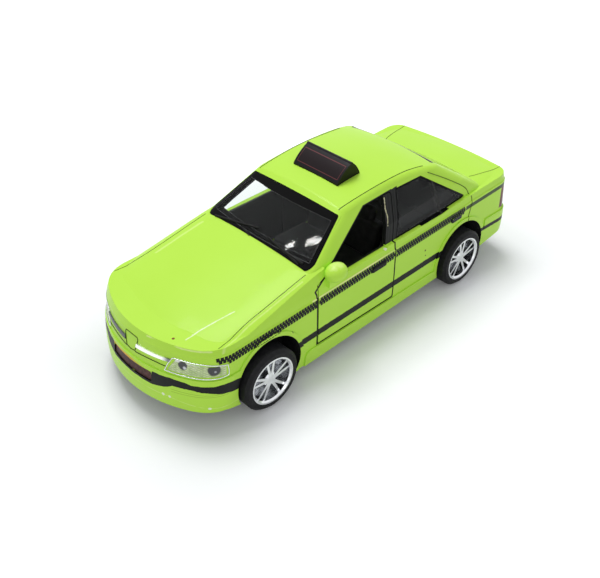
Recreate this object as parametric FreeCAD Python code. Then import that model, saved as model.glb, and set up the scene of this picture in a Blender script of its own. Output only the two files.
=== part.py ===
import FreeCAD, Part
import math
import os

os.makedirs("parts", exist_ok=True)
V = FreeCAD.Vector

# Driving dimensions of the toy, in millimetres
LENGTH = 125.0
WIDTH = 45.8
HEIGHT = 41.4
WHEELBASE = 75.1
FRONT_AXLE = -38.3
TYRE_DIAMETER = 17.2
TYRE_WIDTH = 6.0
WHEEL_TRACK = 44.0
RIM_DIAMETER = 13.2
AXLE_DIAMETER = 2.0

# Casting and moulding thicknesses and the clearances between pieces
WALL = 1.2
GLASS = 0.8
PLATE = 1.4
FINE = 0.4
RELIEF = 0.35
GROOVE = 0.2
GROOVE_WIDTH = 0.3
GAP = 0.25
FIT = 0.05

# Front doors: the hinge axis stands inside the wing, ahead of the door
HINGE_RADIUS = 4.0
HINGE_DEPTH = 2.3
ARM_WIDTH = 1.0
ARM_DEPTH = 1.2
ARM_START = 76
ARM_END = 146
BARREL_DIAMETER = 1.8
BARREL_HEIGHT = 6.0
BARREL_LEVEL = 13.5
PIVOT_DIAMETER = 1.0

# Wheel arches, screws, sign and small fittings
ARCH_RADIUS = 10.3
ARCH_SHIFT = 1.0
ARCH_LIFT = 0.6
SKIRT_ROUND = 2.0
WELL_INNER = 16.0
BEARING_WIDTH = 2.8
BEARING_LENGTH = 5.6
BEARING_OFFSET = 11.8
SCREW_DIAMETER = 4.0
SCREW_LENGTH = 8.0
SHANK_DIAMETER = 2.0
POST_DIAMETER = 4.8
HEAD_HEIGHT = 0.8
BASE_LIFT = 0.6
TRAY_LEVEL = 11.2
SIGN_WIDTH = 16.2
SIGN_DEPTH = 8.5
SIGN_HEIGHT = 4.0
SIGN_BULGE = 0.35
sign_ridge_share = 0.62
MIRROR_WIDTH = 5.2
MIRROR_DEPTH = 6.6
MIRROR_HEIGHT = 4.8
STEERING_RADIUS = 3.2
STEERING_SLANT = 62
COLUMN_LENGTH = 4.2
SEAT_ROUND = 1.2
SEAT_LEAN = 12
SPOKE_PAIRS = 5
SPOKE_SPREAD = 11
SPOKE_WIDTH = 0.9

# Radii of the nose, tail and screens in plan, and how soon they turn into the flank
NOSE_RADIUS = 34.0
TAIL_RADIUS = 150.0
SCREEN_RADIUS = 110.0
NOSE_CORNER = 13.0
TAIL_CORNER = 6.5
SCREEN_CORNER = 5.0
nose_run_share = 0.75
tail_run_share = 0.82
screen_run_share = 0.90

# Crown of each top surface and the rounding of its edges
BONNET_CROWN = 1.6
BOOT_CROWN = 1.0
ROOF_CROWN = 1.7
EDGE_DROP = 1.6
ROOF_ROUND = 1.8
CORNER_ROUND = 1.0
ROOF_SPREAD = 80.0

# The waist crease and the belt rise to the rear
WAIST_RISE = 0.033
waist_share = 0.572
belt_share = 0.621

# Plan outlines, each row: height, half width, nose and tail, in shares of height, half width and length
flank_shares = [
    (0.070, 0.955, -0.4925, 0.4905),
    (0.230, 0.982, -0.4972, 0.4972),
    (0.390, 0.984, -0.4935, 0.4945),
    (0.572, 0.980, -0.4840, 0.4890),
]
shoulder_shares = [
    (0.572, 0.980, -0.4840, 0.4890),
    (0.579, 0.967, -0.4830, 0.4880),
    (0.621, 0.956, -0.4785, 0.4855),
    (0.840, 0.850, -0.4460, 0.4712),
]
cabin_shares = [
    (0.560, 0.944, -0.2860, 0.4260),
    (0.740, 0.874, -0.1815, 0.3340),
    (0.930, 0.715, -0.0695, 0.2370),
    (1.040, 0.620, -0.0050, 0.1800),
]

# Centre lines and side-view outlines, each point: share of length, share of height
bonnet_shares = [(-0.520, 0.440), (-0.480, 0.505), (-0.452, 0.548), (-0.416, 0.587),
                 (-0.350, 0.633), (-0.284, 0.670), (-0.188, 0.727), (-0.136, 0.752)]
boot_shares = [(0.352, 0.690), (0.400, 0.689), (0.450, 0.683), (0.480, 0.672), (0.520, 0.640)]
roof_shares = [(-0.120, 0.895), (-0.072, 0.946), (0.000, 0.982), (0.064, 0.998),
               (0.140, 0.996), (0.220, 0.968), (0.270, 0.925)]
underside_shares = [(-0.55, 0.158), (-0.41, 0.146), (-0.375, 0.117), (-0.20, 0.080),
                    (0.22, 0.115), (0.39, 0.160), (0.55, 0.235)]
door_shares = [(-0.1760, 0.206), (-0.1760, 0.621), (-0.1336, 0.672), (0.0056, 0.917), (0.0904, 0.930),
               (0.0660, 0.624), (0.0664, 0.206)]
door_light_shares = [(-0.1180, 0.613), (-0.1600, 0.700), (0.0056, 0.970), (0.0680, 0.970), (0.0424, 0.620)]
quarter_light_shares = [(0.0744, 0.628), (0.1032, 0.927), (0.1832, 0.927), (0.3144, 0.660),
                        (0.3024, 0.652), (0.2392, 0.640), (0.2256, 0.635)]
screen_side_shares = [(-0.235, 0.68), (-0.090, 0.97), (-0.010, 0.97), (-0.165, 0.68)]
back_side_shares = [(0.150, 1.00), (0.460, 1.00), (0.460, 0.60), (0.270, 0.60)]
skirt_shares = [(-0.200, 0.000), (-0.200, 0.198), (0.226, 0.198), (0.226, 0.000)]
front_handle_shares = [(-0.007, 0.507), (0.035, 0.512), (0.035, 0.545), (-0.007, 0.540)]
rear_handle_shares = [(0.257, 0.524), (0.291, 0.528), (0.291, 0.561), (0.257, 0.557)]

# Front-view outlines, each point: share of half width, share of height
headlamp_shares = [(0.502, 0.408), (0.590, 0.492), (1.100, 0.464), (1.100, 0.402)]
tail_lamp_shares = [(0.700, 0.394), (0.700, 0.515), (1.100, 0.515), (1.100, 0.394)]
bar_shares = [(0.090, 0.456), (0.098, 0.480), (0.542, 0.484), (0.528, 0.466)]
grille_shares = [(-0.330, 0.282), (-0.330, 0.352), (0.330, 0.352), (0.330, 0.282)]

# Screens seen from the front: half width and height of the foot and of the head, and how far each is bowed
screen_shares = ((0.862, 0.708, 0.023), (0.681, 0.925, 0.012))
back_light_shares = ((0.800, 0.735, 0.008), (0.660, 0.938, 0.012))

# Engraved lines, each point: share of half width or length, share of length or height
bonnet_line_shares = [(0.838, -0.176), (0.848, -0.280), (0.858, -0.365), (0.862, -0.405), (0.830, -0.432),
                      (0.603, -0.455), (0.300, -0.470), (0.120, -0.474)]
boot_line_shares = [(0.700, 0.380), (0.735, 0.400), (0.790, 0.450), (0.815, 0.495)]
rear_door_line_shares = [(0.206, 0.925), (0.262, 0.826), (0.312, 0.722), (0.326, 0.660), (0.330, 0.610),
                         (0.322, 0.500), (0.318, 0.440)]
gutter_line_shares = [(0.640, -0.050), (0.652, 0.060), (0.650, 0.150), (0.672, 0.204)]
nose_line_shares = [(0.075, 0.418), (0.300, 0.428), (0.490, 0.425)]
plaque_line_shares = [(-0.075, 0.423), (-0.113, 0.512), (0.113, 0.512), (0.075, 0.423), (-0.075, 0.423)]

# Where things start and stop along the car, in shares of the length
front_bumper_share = -0.368
rear_bumper_share = 0.392
headlamp_end_share = -0.402
tail_lamp_start_share = 0.458
swing_start_share = -0.165
post_shares = (-0.416, 0.424)
radius_shares = (1.0, 0.8, 0.6)
edge_share = 0.84
crown_shares = (-1.2, -1.0, -0.92, -0.84, -0.6, -0.3, 0, 0.3, 0.6, 0.84, 0.92, 1.0, 1.2)
bumper_top_share = 0.383
side_start_share = 0.333
gutter_foot_share = 0.80
LINE_POINTS = 16

# Base pad: half width, front, rear, foot and top
pad_shares = (0.45, -0.11, 0.11, 0.082, 0.140)

# Mirror: its middle, its flat back, and its foot from front to rear and from bottom to top
mirror_shares = (0.978, -0.117, 0.678)
mirror_back_share = -0.098
mirror_foot_shares = (-0.138, -0.106, 0.596, 0.672)

# Inside: floor, steering wheel, and seats, each row: width, depth, height, place across, along and up, 1 if leaning
floor_shares = (0.62, -0.15, 0.35)
steering_shares = (0.31, -0.076, 0.55)
chair_shares = [(0.50, 0.105, 0.13, 0.31, -0.030, 0.000, 0),
                (0.50, 0.030, 0.36, 0.31, 0.068, 0.000, 1),
                (0.24, 0.022, 0.12, 0.31, 0.094, 0.315, 1)]
bench_shares = [(1.24, 0.120, 0.13, 0.00, 0.185, 0.000, 0),
                (1.24, 0.040, 0.36, 0.00, 0.285, 0.000, 1),
                (1.24, 0.055, 0.31, 0.00, -0.150, 0.000, 0)]

HALF = WIDTH / 2
tyre_top = TYRE_DIAMETER / 2
rear_axle = FRONT_AXLE + WHEELBASE
wheel_outer = WHEEL_TRACK / 2 + TYRE_WIDTH / 2
X_AXIS, Y_AXIS, Z_AXIS = V(1, 0, 0), V(0, 1, 0), V(0, 0, 1)
FULL_TURN = 360


def along(share):
    return share * LENGTH


def up(share):
    return share * HEIGHT


def across(share):
    return share * HALF


def bezier(points):
    curve = Part.BezierCurve()
    curve.setPoles(points)
    return curve.toShape()


def prism(points, direction):
    return Part.Face(closed(points)).extrude(direction)


def slab(y0, y1, z0=0.0, z1=2 * HEIGHT, half=WIDTH):
    """Everything between two stations and two levels."""
    return Part.makeBox(2 * half, y1 - y0, z1 - z0, V(-half, y0, z0))


def rod(base, radius, length, axis):
    return Part.makeCylinder(radius, length, base, axis)


def mirrored(shape):
    return shape.mirror(V(0, 0, 0), X_AXIS)


def both(shape):
    return shape.fuse(mirrored(shape))


def outline(wire, grow=0.0, corner=0.0):
    """Face inside a wire, grown by a margin, its corners rounded."""
    if grow:
        wire = wire.makeOffset2D(grow, 2, False, False, False)
    if corner:
        wire = wire.makeOffset2D(-corner, 2, False, False, False).makeOffset2D(corner, 0, False, False, False)
    return Part.Face(wire)


def closed(points):
    return Part.makePolygon(points + [points[0]])


def side_prism(shares, grow=0.0, corner=0.0, start=0.0):
    """Side-view outline run out through the left flank."""
    face = outline(closed([V(0, along(y), up(z)) for y, z in shares]), grow, corner)
    face.translate(V(start, 0, 0))
    return face.extrude(V(WIDTH, 0, 0))


def front_prism(shares, y0, y1, grow=0.0, corner=0.0):
    """Front-view outline run between two stations."""
    face = outline(closed([V(across(x), 0, up(z)) for x, z in shares]), grow, corner)
    face.translate(V(0, y0, 0))
    return face.extrude(V(0, y1 - y0, 0))


def screen_prism(shares, side_shares, grow=0.0):
    """Zone of a screen: bowed foot and head seen from the front, between two slanted planes."""
    (foot_x, foot_z, foot_bow), (head_x, head_z, head_bow) = shares
    foot, head = V(across(foot_x), 0, up(foot_z)), V(across(head_x), 0, up(head_z))
    far_foot, far_head = V(-foot.x, 0, foot.z), V(-head.x, 0, head.z)
    wire = Part.Wire([Part.makeLine(far_foot, far_head),
                      Part.Arc(far_head, V(0, 0, up(head_z + head_bow)), head).toShape(),
                      Part.makeLine(head, foot),
                      Part.Arc(foot, V(0, 0, up(foot_z + foot_bow)), far_foot).toShape()])
    face = outline(wire, grow, CORNER_ROUND)
    face.translate(V(0, -LENGTH, 0))
    return face.extrude(V(0, 2 * LENGTH, 0)).common(both(side_prism(side_shares)))


def plan_wire(level, half, nose, tail, cabin):
    """Outline of the body from above, on a plane that rises to the rear."""
    slope = WAIST_RISE * level / up(waist_share)
    nose_radius, tail_radius = (SCREEN_RADIUS, SCREEN_RADIUS) if cabin else (NOSE_RADIUS, TAIL_RADIUS)
    nose_corner, tail_corner = (SCREEN_CORNER, SCREEN_CORNER) if cabin else (NOSE_CORNER, TAIL_CORNER)
    nose_run = half * (screen_run_share if cabin else nose_run_share)
    tail_run = half * (screen_run_share if cabin else tail_run_share)

    def at(x, y):
        return V(x, y, level + slope * y)

    def turn(tip, radius, run, side):
        depth = math.sqrt(radius ** 2 - run ** 2)
        start = tip + side * (radius - depth)
        return start, start + side * (half - run) * run / depth

    front, front_pole = turn(nose, nose_radius, nose_run, 1)
    back, back_pole = turn(tail, tail_radius, tail_run, -1)
    front_end, back_end = nose + nose_corner, tail - tail_corner
    return Part.Wire([
        Part.Arc(at(-nose_run, front), at(0, nose), at(nose_run, front)).toShape(),
        bezier([at(nose_run, front), at(half, front_pole), at(half, front_end)]),
        Part.LineSegment(at(half, front_end), at(half, back_end)).toShape(),
        bezier([at(half, back_end), at(half, back_pole), at(tail_run, back)]),
        Part.Arc(at(tail_run, back), at(0, tail), at(-tail_run, back)).toShape(),
        bezier([at(-tail_run, back), at(-half, back_pole), at(-half, back_end)]),
        Part.LineSegment(at(-half, back_end), at(-half, front_end)).toShape(),
        bezier([at(-half, front_end), at(-half, front_pole), at(-nose_run, front)]),
    ])


def walls(rows, inset, ruled, cabin=False):
    """Solid through plan outlines, set in by the inset."""
    wires = []
    for level, half, nose, tail in rows:
        wires.append(plan_wire(up(level), across(half) - inset, along(nose) + inset, along(tail) - inset, cabin))
    return Part.makeLoft(wires, True, ruled)


def under(shares, crown, inset, spread=0.0, edge_drop=0.0):
    """Solid below a centre line, crowned across the car and turned down along its sides."""
    wires = []
    for step in crown_shares:
        x = across(step)
        turned = max(abs(step) - edge_share, 0) / (1 - edge_share)
        drop = crown * step ** 2 + edge_drop * turned ** 2 + inset
        line = [V(x, along(y), up(z) - drop) for y, z in shares]
        top = Part.BSplineCurve()
        top.interpolate(line)
        rear_foot, front_foot = V(x, line[-1].y + spread, 0), V(x, line[0].y - spread, 0)
        wires.append(Part.Wire([top.toShape(), Part.makeLine(line[-1], rear_foot),
                                Part.makeLine(rear_foot, front_foot), Part.makeLine(front_foot, line[0])]))
    return Part.makeLoft(wires, True, False)


def rounded(solid, full_radius, inset):
    """Round the rim of the roof, with a smaller radius where the full one doesn't fit."""
    radius = full_radius - inset
    if inset < 0 or radius < FINE:
        return solid
    top = max(solid.Faces, key=lambda face: face.CenterOfMass.z)
    for share in radius_shares:
        try:
            round_solid = solid.makeFillet(radius * share, top.OuterWire.Edges)
        except Part.OCCError:
            continue
        if round_solid.isValid():
            return round_solid
    return solid


def below_belt(inset):
    """Everything below the belt, which rises to the rear."""
    slope = WAIST_RISE * belt_share / waist_share
    level = up(belt_share) - inset
    ends = [V(-WIDTH, y, z) for y, z in ((-LENGTH, 0), (-LENGTH, level - slope * LENGTH),
                                         (LENGTH, level + slope * LENGTH), (LENGTH, 0))]
    return prism(ends, V(2 * WIDTH, 0, 0))


def form(inset):
    """The whole outer form of the body, set in by the inset."""
    body = walls(flank_shares, inset, False).fuse(walls(shoulder_shares, inset, True))
    front = body.common(under(bonnet_shares, BONNET_CROWN, inset, edge_drop=EDGE_DROP))
    rear = body.common(under(boot_shares, BOOT_CROWN, inset, edge_drop=EDGE_DROP))
    cabin = walls(cabin_shares, inset, True, cabin=True)
    cabin = cabin.common(under(roof_shares, ROOF_CROWN, inset, ROOF_SPREAD))
    cabin = rounded(cabin, ROOF_ROUND, inset)
    return body.common(below_belt(inset)).fuse([front, rear, cabin])


def save(name, shape):
    """Write one piece and say what it is."""
    solids = shape.Solids
    piece = solids[0] if len(solids) == 1 else Part.makeCompound(solids)
    piece.exportStep("parts/" + name + ".step")
    box = piece.BoundBox
    print(f"{name:18s} solids {len(solids)} valid {piece.isValid()} volume {piece.Volume:9.1f} "
          f"x {box.XMin:6.1f} {box.XMax:6.1f} y {box.YMin:6.1f} {box.YMax:6.1f} z {box.ZMin:5.1f} {box.ZMax:5.1f}")


outer = form(0)
scored = form(GROOVE)
inner = form(WALL)
room_side = form(WALL + GLASS + FIT)
proud = form(-RELIEF)
wall = outer.cut(inner)
wall_side = walls(flank_shares, WALL + FIT, False)
underside = prism([V(-WIDTH, along(y), up(z)) for y, z in underside_shares]
                  + [V(-WIDTH, LENGTH, -HEIGHT), V(-WIDTH, -LENGTH, -HEIGHT)], V(2 * WIDTH, 0, 0))
hinge_x = across(flank_shares[1][1]) - HINGE_DEPTH
hinge_y = along(swing_start_share) - math.sqrt(HINGE_RADIUS ** 2 - HINGE_DEPTH ** 2)
side_start = across(side_start_share)
arch_centres = [V(0, axle + ARCH_SHIFT, tyre_top + ARCH_LIFT) for axle in (FRONT_AXLE, rear_axle)]
inlay_zones = {
    "headlamp": (headlamp_shares, -LENGTH, along(headlamp_end_share)),
    "tail_lamp": (tail_lamp_shares, along(tail_lamp_start_share), LENGTH),
    "lower_grille": (grille_shares, -LENGTH, along(front_bumper_share)),
}


def underside_level(y):
    """Level of the body's lower edge at a station."""
    for (y0, z0), (y1, z1) in zip(underside_shares, underside_shares[1:]):
        if along(y0) <= y <= along(y1):
            return up(z0 + (z1 - z0) * (y - along(y0)) / along(y1 - y0))


def groove(points, direction):
    """Narrow cutter along a line of points, run through in one direction."""
    cutters = []
    for start, stop in zip(points, points[1:]):
        step = stop - start
        aside = step.cross(direction).normalize() * GROOVE_WIDTH / 2
        reach = step / step.Length * GROOVE_WIDTH / 2
        corners = [start - reach + aside, stop + reach + aside, stop + reach - aside, start - reach - aside]
        cutters.append(prism(corners, direction))
    return Part.makeCompound(cutters)


def curve_points(points):
    """Evenly spaced points on a smooth curve through a few points."""
    curve = Part.BSplineCurve()
    curve.interpolate(points)
    return curve.discretize(LINE_POINTS)


def shut_lines():
    """Engraved lines: bonnet, boot lid, rear doors, roof gutters and nose."""
    cutters = []
    for shares, foot in ((bonnet_line_shares, 0), (boot_line_shares, 0), (gutter_line_shares, up(gutter_foot_share))):
        line = curve_points([V(across(x), along(y), foot) for x, y in shares])
        cutters.append(groove(line, V(0, 0, HEIGHT)))
    rear_door = curve_points([V(0, along(y), up(z)) for y, z in rear_door_line_shares])
    cutters.append(groove(rear_door, V(WIDTH, 0, 0)))
    nose = [V(across(x), -LENGTH, up(z)) for x, z in nose_line_shares]
    cutters.append(groove(nose, V(0, LENGTH, 0)))
    sides = Part.makeCompound(cutters)
    plaque = [V(across(x), -LENGTH, up(z)) for x, z in plaque_line_shares]
    return [sides, mirrored(sides), groove(plaque, V(0, LENGTH, 0))]


def body_shell():
    """Cast body: skin with bumpers, skirts, arch lips, handles, screw posts and hinge lugs."""
    bumpers = slab(-LENGTH, along(front_bumper_share), 0, up(bumper_top_share)).fuse(
        slab(along(rear_bumper_share), LENGTH, 0, up(bumper_top_share)))
    skirts = both(side_prism(skirt_shares, corner=SKIRT_ROUND))
    lips = [rod(centre - V(WIDTH, 0, 0), ARCH_RADIUS + WALL, 2 * WIDTH, X_AXIS) for centre in arch_centres]
    handles = both(side_prism(rear_handle_shares, corner=FINE))
    raised = [proud.common(zone) for zone in [bumpers, skirts, handles] + lips]
    shell = outer.fuse(raised).cut(inner)
    shell = shell.cut([rod(centre - V(WIDTH, 0, 0), ARCH_RADIUS, 2 * WIDTH, X_AXIS) for centre in arch_centres])
    keep = rod(V(hinge_x, hinge_y, 0), HINGE_RADIUS - GAP / 2, HEIGHT, Z_AXIS)
    doorway = side_prism(door_shares, corner=CORNER_ROUND, start=side_start).cut(keep)
    quarter = side_prism(quarter_light_shares, corner=FINE, start=side_start)
    screens = [screen_prism(screen_shares, screen_side_shares), screen_prism(back_light_shares, back_side_shares)]
    pockets = [both(front_prism(*zone, corner=FINE)) for zone in inlay_zones.values()]
    shell = shell.cut([both(doorway), both(quarter)] + screens + pockets)
    backing = inner.cut(room_side)
    backs = [backing.common(front_prism(shares, y0 - WALL, y1 + WALL, grow=WALL))
             for shares, y0, y1 in inlay_zones.values()]
    shell = shell.fuse([both(back) for back in backs])
    skin = outer.cut(scored)
    shell = shell.cut([skin.common(cutter) for cutter in shut_lines()])
    for share in post_shares:
        foot = underside_level(along(share)) + BASE_LIFT
        post = rod(V(0, along(share), foot + PLATE + FINE), POST_DIAMETER / 2, HEIGHT, Z_AXIS).common(outer)
        bore = rod(V(0, along(share), foot), SHANK_DIAMETER / 2, HEAD_HEIGHT + SCREW_LENGTH, Z_AXIS)
        shell = shell.fuse(post).cut(bore)
    lugs = []
    for level in (BARREL_LEVEL - ARM_DEPTH - GAP, BARREL_LEVEL + BARREL_HEIGHT + GAP):
        corner = V(hinge_x - BARREL_DIAMETER / 2, hinge_y - BARREL_DIAMETER / 2, level)
        lugs.append(Part.makeBox(HALF, BARREL_DIAMETER, ARM_DEPTH, corner).common(outer))
    pin_bore = rod(V(hinge_x, hinge_y, 0), PIVOT_DIAMETER / 2 + FIT, up(waist_share), Z_AXIS)
    shell = shell.fuse(both(lugs[0].fuse(lugs[1]).cut(pin_bore)))
    return shell.cut(underside)


def door():
    """Left door with its rear post, handle, hinge arms, barrel and pivots."""
    leaf = side_prism(door_shares, -GAP, CORNER_ROUND - GAP, side_start)
    swing = rod(V(hinge_x, hinge_y, 0), HINGE_RADIUS + GAP / 2, HEIGHT, Z_AXIS)
    handle = proud.common(side_prism(front_handle_shares, corner=FINE))
    panel = wall.common(leaf).fuse(handle.cut(outer))
    panel = panel.cut([swing, side_prism(door_light_shares)])
    reach = HINGE_RADIUS + GAP / 2
    pieces = [panel]
    for level in (BARREL_LEVEL, BARREL_LEVEL + BARREL_HEIGHT - ARM_DEPTH):
        centre = V(hinge_x, hinge_y, level)
        sector = Part.makeCylinder(reach + ARM_WIDTH, ARM_DEPTH, centre, Z_AXIS, ARM_END - ARM_START)
        sector.rotate(centre, Z_AXIS, ARM_START)
        spoke = Part.makeBox(reach + ARM_WIDTH, ARM_WIDTH, ARM_DEPTH, centre)
        spoke.rotate(centre, Z_AXIS, ARM_END)
        pieces += [sector.cut(rod(centre, reach, ARM_DEPTH, Z_AXIS)), spoke]
    barrel_foot = V(hinge_x, hinge_y, BARREL_LEVEL)
    pieces.append(rod(barrel_foot, BARREL_DIAMETER / 2, BARREL_HEIGHT, Z_AXIS))
    pin_length = BARREL_HEIGHT + 2 * ARM_DEPTH
    pieces.append(rod(barrel_foot - V(0, 0, ARM_DEPTH), PIVOT_DIAMETER / 2, pin_length, Z_AXIS))
    return pieces[0].fuse(pieces[1:])


def mirror_shell():
    """Left door mirror: a rounded housing with a flat back on a foot."""
    size = FreeCAD.Matrix()
    size.scale(MIRROR_WIDTH / 2, MIRROR_DEPTH / 2, MIRROR_HEIGHT / 2)
    ball = Part.makeSphere(1.0).transformGeometry(size)
    x, y, z = mirror_shares
    ball.translate(V(across(x), along(y), up(z)))
    ball = ball.cut(slab(along(mirror_back_share), LENGTH))
    front, rear, bottom, top = mirror_foot_shares
    foot = slab(along(front), along(rear), up(bottom), up(top), HALF).common(side_prism(door_shares, -GAP))
    return ball.fuse(foot).cut(outer)


def glazing():
    """Thick panes that fill their openings: windscreen, rear window and rear side windows."""
    glass = scored.cut(room_side)
    screen = screen_prism(screen_shares, screen_side_shares, -FIT)
    back = screen_prism(back_light_shares, back_side_shares, -FIT)
    quarter = side_prism(quarter_light_shares, -FIT, FINE, side_start)
    panes = [glass.common(zone) for zone in (screen, back, quarter, mirrored(quarter))]
    return Part.makeCompound(panes)


def inlay(name):
    """Piece that fills its opening, flush with the skin, against the backing behind it."""
    return wall.common(front_prism(*inlay_zones[name], grow=-FIT, corner=FINE))


def chassis():
    """Base plate that follows the underside, with wheel wells and axle bearings."""
    low = [V(-WIDTH, along(y), up(z) + BASE_LIFT) for y, z in underside_shares]
    high = [point + V(0, 0, PLATE) for point in reversed(low)]
    pieces = [wall_side.common(prism(low + high, V(2 * WIDTH, 0, 0)))]
    low_cut = underside.copy()
    low_cut.translate(V(0, 0, BASE_LIFT))
    for centre, axle in zip(arch_centres, (FRONT_AXLE, rear_axle)):
        tub = rod(centre + V(WELL_INNER - PLATE / 2, 0, 0), ARCH_RADIUS + PLATE / 2, WIDTH, X_AXIS)
        pieces.append(both(tub.common(wall_side).cut(low_cut)))
        corner = V(BEARING_OFFSET, axle - BEARING_LENGTH / 2, 0)
        block = Part.makeBox(BEARING_WIDTH, BEARING_LENGTH, TYRE_DIAMETER, corner)
        block = block.cut(low_cut).cut(slab(-LENGTH, LENGTH, tyre_top + AXLE_DIAMETER))
        pieces.append(both(block))
    pad_half, front, rear, foot, top = pad_shares
    pieces.append(slab(along(front), along(rear), up(foot), up(top), across(pad_half)))
    body = pieces[0].fuse(pieces[1:])
    for centre, axle in zip(arch_centres, (FRONT_AXLE, rear_axle)):
        well = rod(centre + V(WELL_INNER, 0, 0), ARCH_RADIUS, WIDTH, X_AXIS)
        bore = rod(V(-WIDTH, axle, tyre_top), AXLE_DIAMETER / 2 + FIT, 2 * WIDTH, X_AXIS)
        body = body.cut([well, mirrored(well), bore])
    for share in post_shares:
        foot = V(0, along(share), underside_level(along(share)) + BASE_LIFT - HEAD_HEIGHT)
        body = body.cut([rod(foot, SHANK_DIAMETER / 2 + FIT, HEIGHT, Z_AXIS),
                         rod(foot, SCREW_DIAMETER / 2 + FIT, HEAD_HEIGHT, Z_AXIS)])
    return body


def cushion(width, depth, height, x, y, z, leaning):
    """Rounded seat block, leaning back about its lower edge."""
    block = Part.makeBox(across(width), along(depth), up(height))
    block = block.makeFillet(SEAT_ROUND, [edge for edge in block.Edges if edge.CenterOfMass.z > SEAT_ROUND])
    block.rotate(V(0, 0, 0), X_AXIS, -SEAT_LEAN * leaning)
    block.translate(V(across(x - width / 2), along(y), TRAY_LEVEL + up(z)))
    return block


def tray():
    """Inside moulding: floor, seats, dashboard and rear shelf."""
    half, front, rear = floor_shares
    floor = slab(along(front), along(rear), TRAY_LEVEL, TRAY_LEVEL + PLATE, across(half))
    chairs = [both(cushion(*row)) for row in chair_shares]
    benches = [cushion(*row) for row in bench_shares]
    return floor.fuse(chairs + benches).common(slab(-LENGTH, LENGTH, TRAY_LEVEL))


def steering_wheel():
    """Wheel with a cross bar on a short column."""
    bar = slab(-FINE, FINE, 0, FINE, STEERING_RADIUS)
    column = rod(V(0, 0, -COLUMN_LENGTH), FINE, COLUMN_LENGTH, Z_AXIS)
    wheel = Part.makeTorus(STEERING_RADIUS, FINE).fuse([bar, rod(V(0, 0, 0), PLATE / 2, FINE, Z_AXIS), column])
    wheel.rotate(V(0, 0, 0), X_AXIS, -STEERING_SLANT)
    x, y, z = steering_shares
    wheel.translate(V(across(x), along(y), up(z)))
    return wheel


def revolved(points):
    return Part.Face(closed(points)).revolve(V(0, 0, 0), X_AXIS, FULL_TURN)


def tyre(side, axle):
    """Plain tyre with bevelled shoulders."""
    radius, rim, half, bevel = tyre_top, RIM_DIAMETER / 2, TYRE_WIDTH / 2, 2 * FINE
    profile = [V(-half, rim, 0), V(-half, radius - bevel, 0), V(-half + bevel, radius, 0),
               V(half - bevel, radius, 0), V(half, radius - bevel, 0), V(half, rim, 0)]
    ring = revolved(profile)
    ring.translate(V(side * WHEEL_TRACK / 2, axle, tyre_top))
    return ring


def hub(side, axle):
    """Dished wheel with five paired spokes and a centre cap."""
    rim, half, pin = RIM_DIAMETER / 2, TYRE_WIDTH / 2, AXLE_DIAMETER / 2
    dish = [V(-half, rim, 0), V(half, rim, 0), V(half, rim - FINE, 0), V(half - FINE, rim - 2 * FINE, 0),
            V(-half + 2 * FINE, rim - 3 * FINE, 0), V(-half + 2 * FINE, pin, 0), V(-half, pin, 0)]
    body = revolved(dish)
    face = half - 2 * FINE
    cap = revolved([V(-half, pin, 0), V(-half, AXLE_DIAMETER, 0), V(face - FINE, AXLE_DIAMETER, 0),
                    V(face, PLATE, 0), V(face, 0, 0), V(face - PLATE, 0, 0), V(face - PLATE, pin, 0)])
    spokes = []
    for number in range(SPOKE_PAIRS):
        for lean in (-SPOKE_SPREAD, SPOKE_SPREAD):
            foot, tip = SPOKE_WIDTH / 2, SPOKE_WIDTH / 3
            spoke = prism([V(face - SPOKE_WIDTH, -foot, 0), V(face - SPOKE_WIDTH, foot, 0),
                           V(face - SPOKE_WIDTH, tip, rim - FINE), V(face - SPOKE_WIDTH, -tip, rim - FINE)],
                          V(SPOKE_WIDTH, 0, 0))
            spoke.rotate(V(0, 0, 0), X_AXIS, lean + number * FULL_TURN / SPOKE_PAIRS)
            spokes.append(spoke)
    body = body.fuse([cap] + [spoke.cut(rod(V(-half, 0, 0), pin, TYRE_WIDTH - PLATE, X_AXIS)) for spoke in spokes])
    if side < 0:
        body = mirrored(body)
    body.translate(V(side * WHEEL_TRACK / 2, axle, tyre_top))
    return body


def axle_rod(axle):
    length = 2 * (wheel_outer - 2 * FINE - PLATE)
    return rod(V(-length / 2, axle, tyre_top), AXLE_DIAMETER / 2, length, X_AXIS)


def roof_sign():
    """Three-sided sign with slightly bowed faces that sits on the crown of the roof."""
    front, back = 0, SIGN_DEPTH
    ridge, top, foot = SIGN_DEPTH * sign_ridge_share, HEIGHT + SIGN_HEIGHT, HEIGHT - WALL

    def bowed(start, stop, bulge):
        middle = (start + stop) / 2 + (stop - start).cross(X_AXIS).normalize() * bulge
        return Part.Arc(start, middle, stop).toShape()

    toe, heel = V(0, front, HEIGHT - FINE), V(0, back, HEIGHT - FINE)
    fore, aft = V(0, ridge - FINE, top - RELIEF), V(0, ridge + FINE, top - RELIEF)
    edges = [Part.makeLine(V(0, front, foot), toe), bowed(toe, fore, -SIGN_BULGE),
             Part.Arc(fore, V(0, ridge, top), aft).toShape(), bowed(aft, heel, -SIGN_BULGE),
             Part.makeLine(heel, V(0, back, foot)), Part.makeLine(V(0, back, foot), V(0, front, foot))]
    face = Part.Face(Part.Wire(edges))
    face.translate(V(-SIGN_WIDTH / 2, 0, 0))
    return face.extrude(V(SIGN_WIDTH, 0, 0)).cut(outer)


def grille_bars():
    """Bright bar each side of the nose, standing a little proud."""
    return both(proud.common(front_prism(bar_shares, -LENGTH, 0)).cut(outer))


def screw(share):
    """Screw through the base plate into the body's post."""
    foot = underside_level(along(share)) + BASE_LIFT
    head = rod(V(0, along(share), foot - HEAD_HEIGHT), SCREW_DIAMETER / 2, HEAD_HEIGHT, Z_AXIS)
    return head.fuse(rod(V(0, along(share), foot), SHANK_DIAMETER / 2, SCREW_LENGTH, Z_AXIS))


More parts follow.
